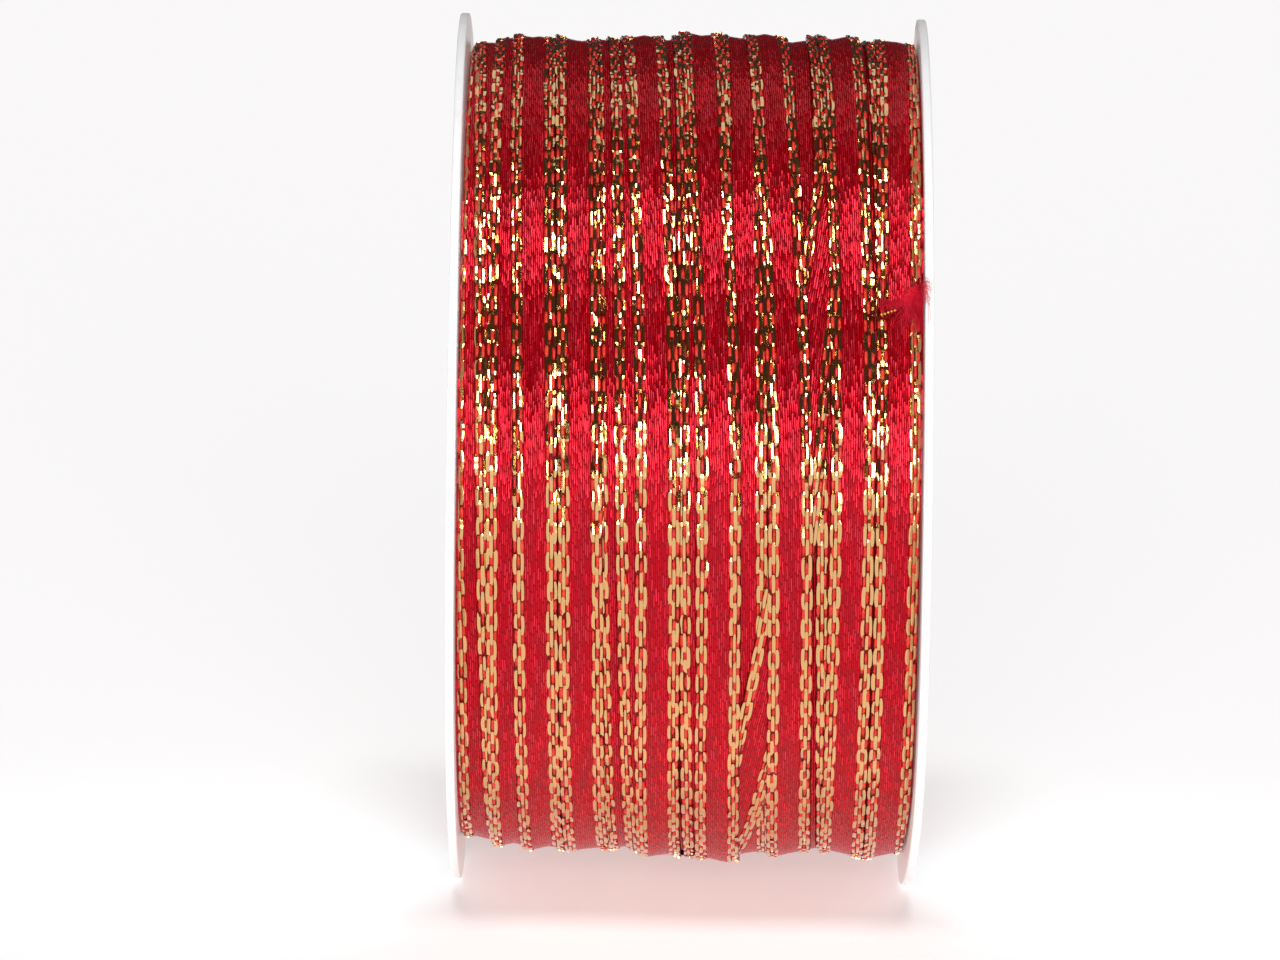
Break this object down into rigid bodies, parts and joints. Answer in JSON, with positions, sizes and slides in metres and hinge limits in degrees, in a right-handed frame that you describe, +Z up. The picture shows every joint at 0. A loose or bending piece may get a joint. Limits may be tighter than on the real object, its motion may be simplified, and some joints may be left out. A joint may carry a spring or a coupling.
{
  "type": "ribbon spool",
  "caption": "Spool with two thin round flanges on a tube core, wound with narrow gold-edged satin ribbon whose free end lifts.",
  "frame": {"origin": "centre of the spindle axis, halfway between the two flanges", "axes": "+X along the spindle axis towards the right flange, the front faces -Y, +Z up"},
  "size_m": [0.0322, 0.06, 0.06],
  "materials": {
    "flange": "semi-gloss moulded, slightly translucent",
    "core": "plain moulded",
    "tape": "clear film",
    "ribbon": "lengthwise satin weave with a soft sheen",
    "gold_yarn": "metallised film yarn, bright, woven in short flat floats"
  },
  "bodies": {
    "spool": {"flange_left": "flange", "flange_right": "flange", "core_tube": "core", "anchor_tape": "tape", "ribbon_inner_layers": "ribbon", "ribbon_turn_01": "ribbon", "ribbon_turn_02": "ribbon", "ribbon_turn_03": "ribbon", "ribbon_turn_04": "ribbon", "ribbon_turn_05": "ribbon", "ribbon_turn_06": "ribbon", "ribbon_turn_07": "ribbon", "ribbon_turn_08": "ribbon", "ribbon_turn_09": "ribbon", "ribbon_turn_10": "ribbon", "ribbon_turn_11": "ribbon", "ribbon_turn_12": "ribbon", "ribbon_turn_13": "ribbon", "ribbon_turn_14": "ribbon", "ribbon_turn_15": "ribbon", "ribbon_turn_16": "ribbon", "ribbon_last_stretch": "ribbon", "gold_edges_01": "gold_yarn", "gold_edges_02": "gold_yarn", "gold_edges_03": "gold_yarn", "gold_edges_04": "gold_yarn", "gold_edges_05": "gold_yarn", "gold_edges_06": "gold_yarn", "gold_edges_07": "gold_yarn", "gold_edges_08": "gold_yarn", "gold_edges_09": "gold_yarn", "gold_edges_10": "gold_yarn", "gold_edges_11": "gold_yarn", "gold_edges_12": "gold_yarn", "gold_edges_13": "gold_yarn", "gold_edges_14": "gold_yarn", "gold_edges_15": "gold_yarn", "gold_edges_16": "gold_yarn", "gold_edges_last_stretch": "gold_yarn"},
    "tail": {"ribbon_tail": "ribbon", "gold_edges_tail": "gold_yarn"}
  },
  "joints": [
    {"name": "tail_lift", "type": "hinge", "parent": "spool", "child": "tail", "pos_m": [0.01393, -0.02132, 0.01853], "axis": [-1, 0, 0], "range_deg": [0, 80]}
  ]
}
